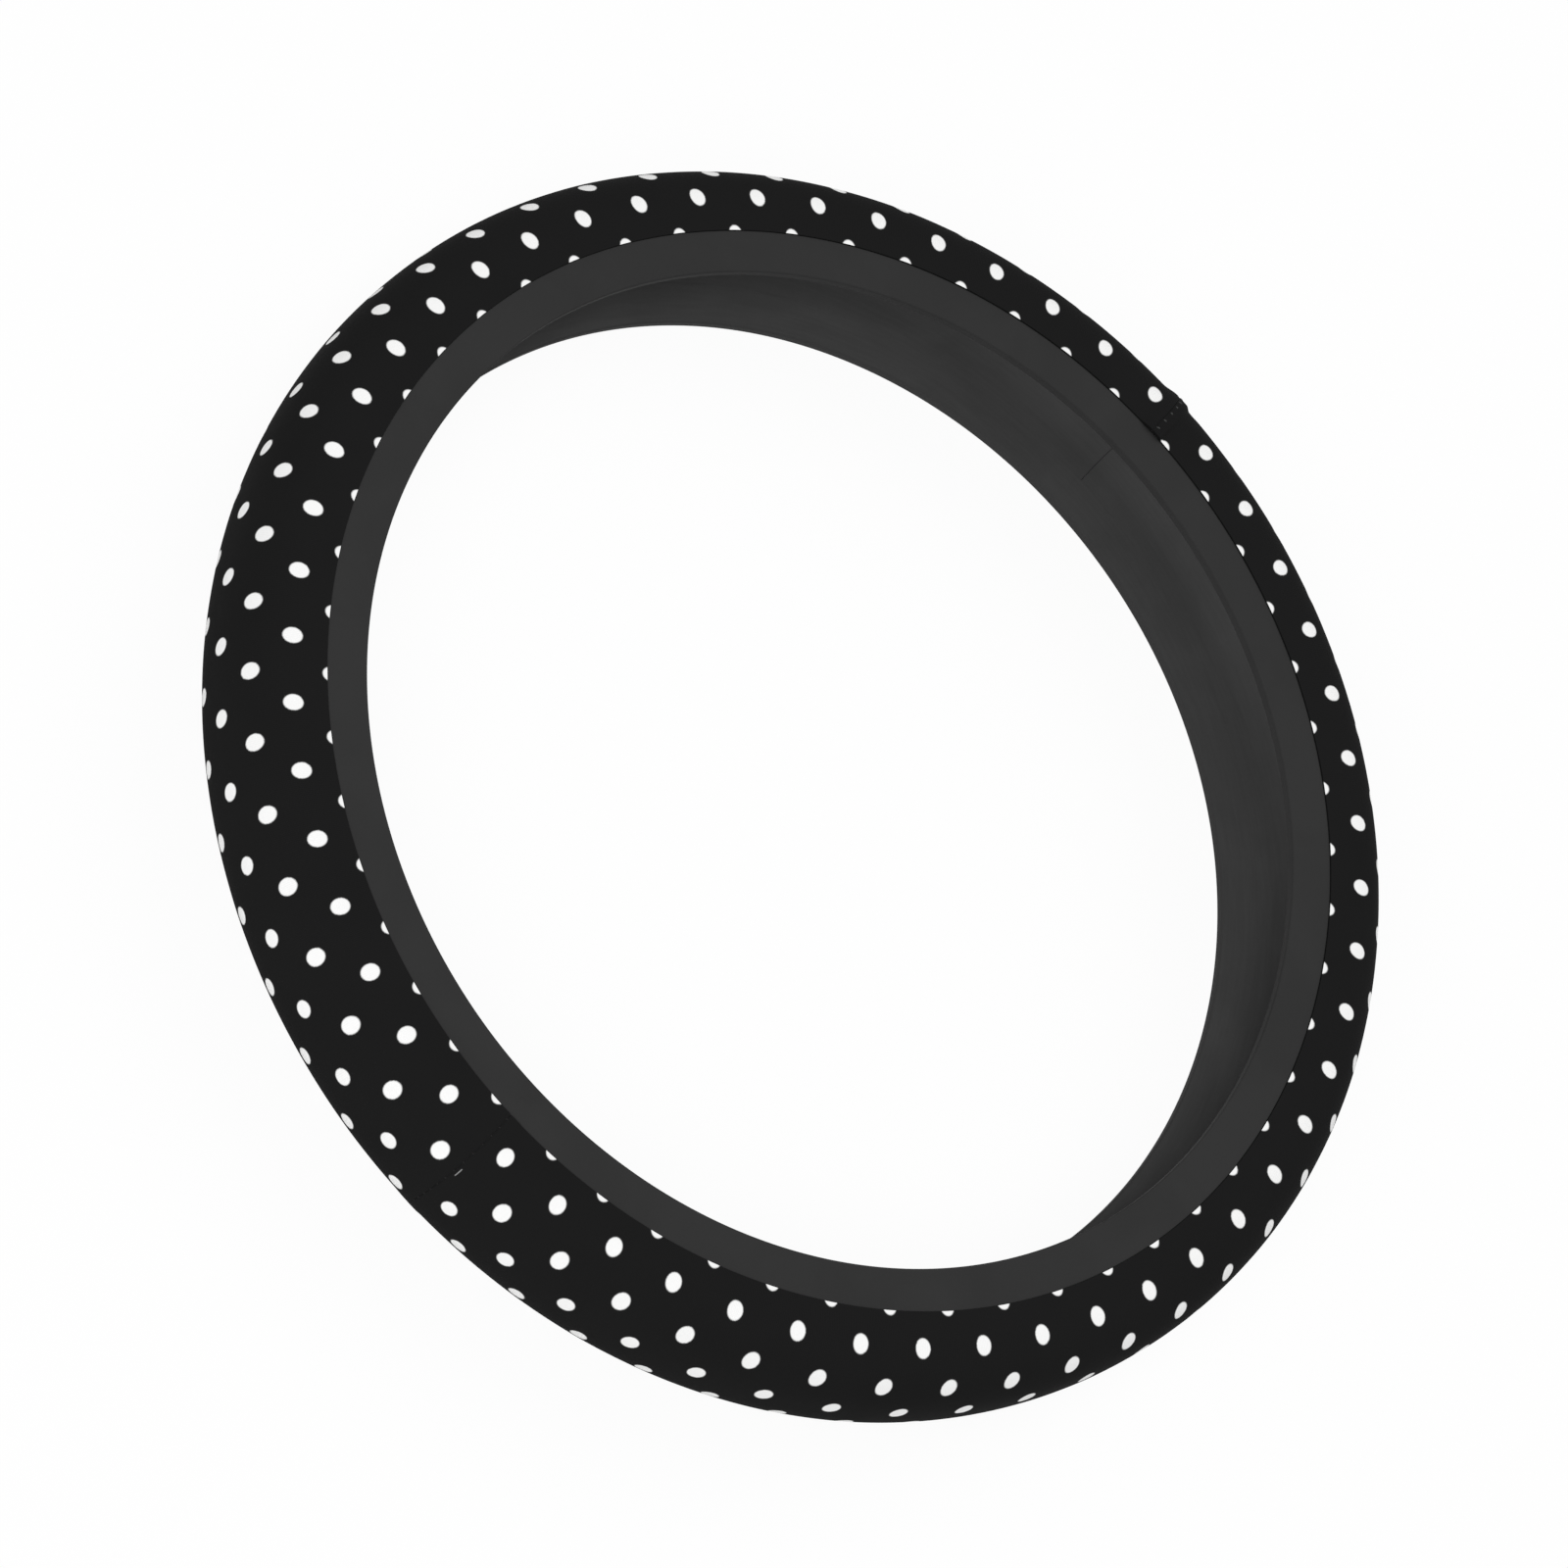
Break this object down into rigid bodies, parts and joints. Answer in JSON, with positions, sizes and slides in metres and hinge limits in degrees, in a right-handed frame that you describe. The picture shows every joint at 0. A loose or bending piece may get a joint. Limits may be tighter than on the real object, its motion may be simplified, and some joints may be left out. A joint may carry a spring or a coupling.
{
  "type": "steering wheel cover",
  "caption": "Soft ring-shaped cover with a C-shaped section open to its middle: dotted fabric outside, grey rubber channel and flat lips inside, which slips over the rim of a steering wheel.",
  "frame": {"origin": "centre of the ring, on the flat of its back face, which it lies on", "axes": "+Z along the ring's axis, from its back face to its front face; +X across the ring, through the middle of the right fabric panel; the two fabric seams lie at +Y and -Y"},
  "size_m": [0.39, 0.39, 0.046],
  "materials": {
    "dotted_fabric": "matte woven fabric, black with printed white dots",
    "liner_rubber": "matte grey rubber with a fine grain",
    "lip_rubber": "matte grey rubber with a fine grain",
    "thread": "twisted sewing thread"
  },
  "bodies": {
    "root": {"fabric_panel_right": "dotted_fabric", "fabric_panel_left": "dotted_fabric", "channel_liner": "liner_rubber", "front_lip": "lip_rubber", "back_lip": "lip_rubber", "seam_thread_far": "thread", "seam_thread_near": "thread"}
  },
  "joints": []
}
